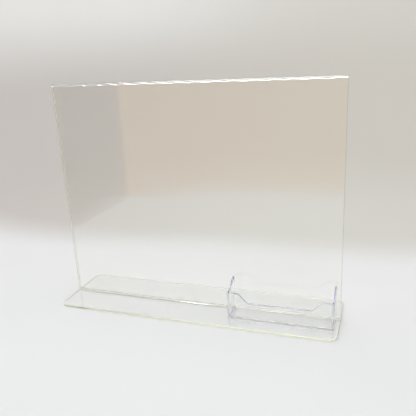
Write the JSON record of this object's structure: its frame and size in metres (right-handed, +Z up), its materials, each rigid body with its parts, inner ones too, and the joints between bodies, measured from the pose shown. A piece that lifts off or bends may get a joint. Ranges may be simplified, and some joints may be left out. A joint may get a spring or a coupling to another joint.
{
  "type": "sneeze guard",
  "caption": "Small countertop guard of clear acrylic: an upright sheet folded double over its top edge, standing on a flat base plate, with a clear card pocket on its front.",
  "frame": {"origin": "centre of the base plate's footprint, on the surface that it stands on", "axes": "+X along the upright and the base plate's long side, towards the end that the card pocket is at; +Y away from the pocket, square to the upright; +Z up"},
  "size_m": [0.2794, 0.0762, 0.2224],
  "materials": {
    "clear_base": "clear cast acrylic, polished faces and edges",
    "clear_upright": "clear cast acrylic, polished faces, heat-bent fold",
    "clear_cement": "clear set solvent cement",
    "clear_pocket": "clear moulded styrene, glossy"
  },
  "bodies": {
    "root": {"base_plate": "clear_base", "folded_panel": "clear_upright", "seam_cement": "clear_cement", "pocket_cement": "clear_cement", "card_pocket": "clear_pocket"}
  },
  "joints": []
}
